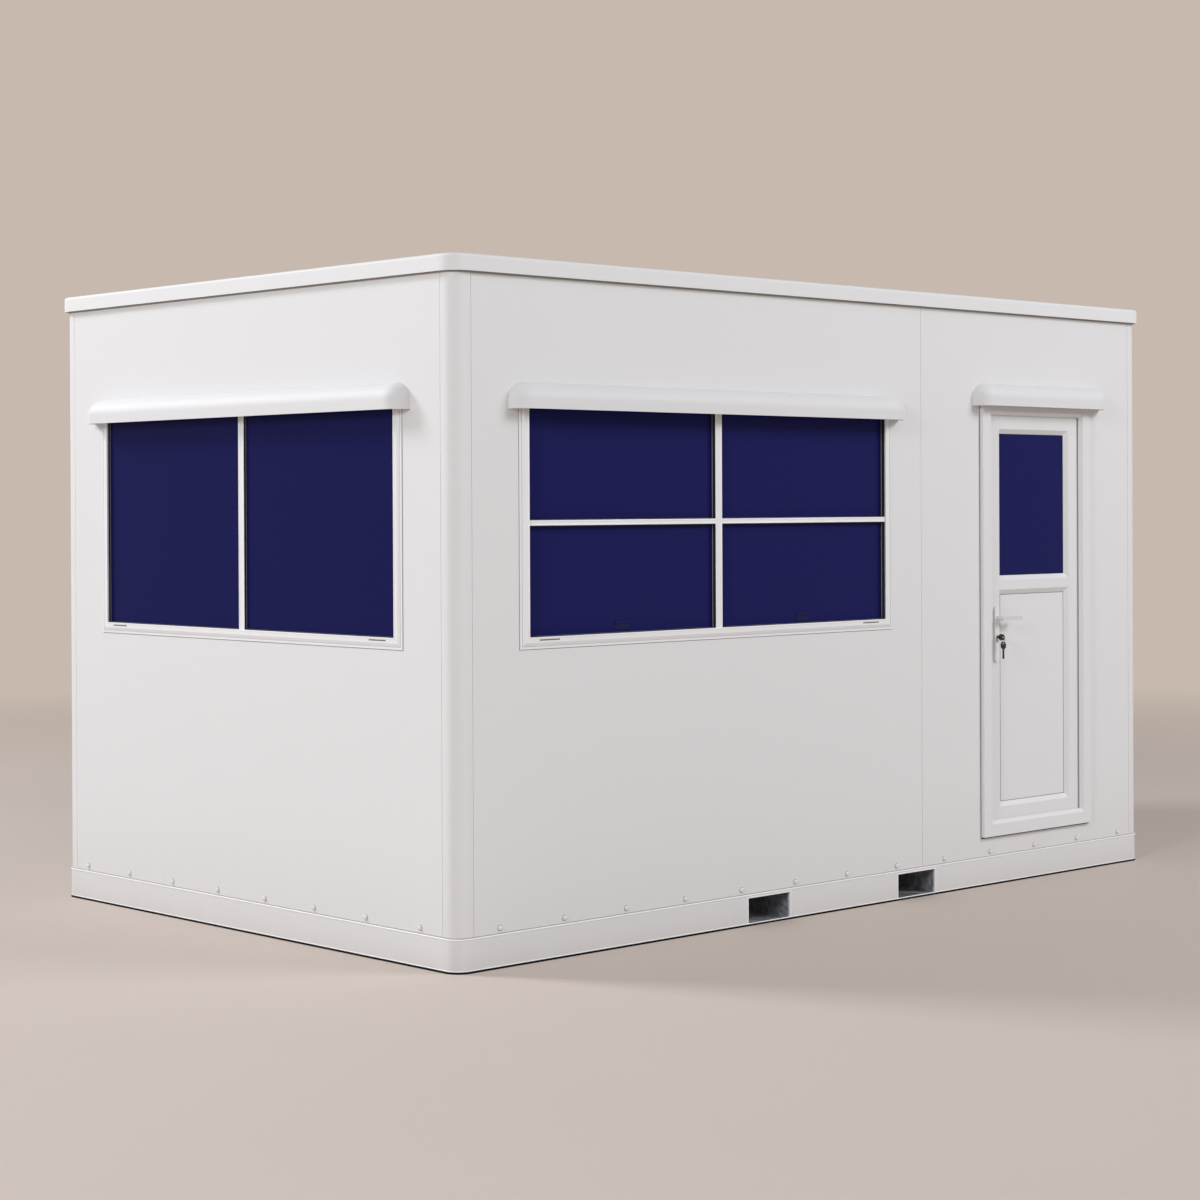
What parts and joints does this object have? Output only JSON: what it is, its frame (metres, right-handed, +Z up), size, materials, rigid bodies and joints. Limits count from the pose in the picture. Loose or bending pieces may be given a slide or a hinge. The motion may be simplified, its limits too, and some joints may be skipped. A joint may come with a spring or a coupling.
{
  "type": "security guard booth",
  "caption": "White prefabricated guard cabin with rounded rain hoods over tinted windows, an inward-opening door and fork pockets in its base.",
  "frame": {"origin": "centre of the footprint, on the ground", "axes": "+Z up; the long wall with the door faces -Y; +X runs from the window end towards the door end"},
  "size_m": [4.14, 2.64, 2.47],
  "materials": {
    "white_panel": "satin gel coat on glass-fibre sandwich panels",
    "painted_base": "satin white paint",
    "white_pvc": "smooth white window profile",
    "tinted_glass": "dark blue sun-control glazing",
    "galvanised_steel": "galvanised",
    "floor_board": "plain board",
    "floor_vinyl": "matt sheet vinyl",
    "seal": "matt sealant",
    "painted_fittings": "white powder coat",
    "lock_steel": "satin nickel"
  },
  "bodies": {
    "cabin": {"skirt_front": "painted_base", "skirt_back": "painted_base", "skirt_ends": "painted_base", "fork_pocket_left": "galvanised_steel", "fork_pocket_right": "galvanised_steel", "cross_members": "galvanised_steel", "floor_panel": "floor_board", "floor_covering": "floor_vinyl", "corner_post_front_left": "white_panel", "corner_post_front_right": "white_panel", "corner_post_back_left": "white_panel", "corner_post_back_right": "white_panel", "front_wall_window_panel": "white_panel", "front_wall_latch_side": "white_panel", "front_wall_hinge_side": "white_panel", "front_wall_over_door": "white_panel", "front_wall_under_door": "white_panel", "back_wall_window_panel": "white_panel", "back_wall_plain_panel": "white_panel", "left_wall": "white_panel", "right_wall": "white_panel", "panel_seals": "seal", "window_frame_front": "white_pvc", "window_frame_back": "white_pvc", "window_frame_left": "white_pvc", "window_frame_right": "white_pvc", "window_glass_front": "tinted_glass", "window_glass_back": "tinted_glass", "window_glass_left": "tinted_glass", "window_glass_right": "tinted_glass", "hood_front_window": "white_panel", "hood_back_window": "white_panel", "hood_left_window": "white_panel", "hood_right_window": "white_panel", "hood_door": "white_panel", "roof_panel": "white_panel", "roof_cap": "white_panel", "door_frame": "white_pvc", "hinge_frame_side": "white_pvc"},
    "door": {"door_leaf": "white_pvc", "door_glass": "tinted_glass", "door_lower_panel": "white_pvc", "hinge_leaf_side": "white_pvc", "handle_plates": "painted_fittings", "lock_cylinder": "lock_steel", "keys": "lock_steel"},
    "lever": {"lever_handle": "painted_fittings"}
  },
  "joints": [
    {"name": "door_hinge", "type": "hinge", "parent": "cabin", "child": "door", "pos_m": [1.566, -1.177, 0], "axis": [0, 0, -1], "range_deg": [0, 100]},
    {"name": "lever_turn", "type": "hinge", "parent": "door", "child": "lever", "pos_m": [0.976, -1.216, 1.12], "axis": [0, 1, 0], "range_deg": [0, 45], "stiffness_Nm_per_rad": 1.5, "springref_deg": -20.05}
  ]
}
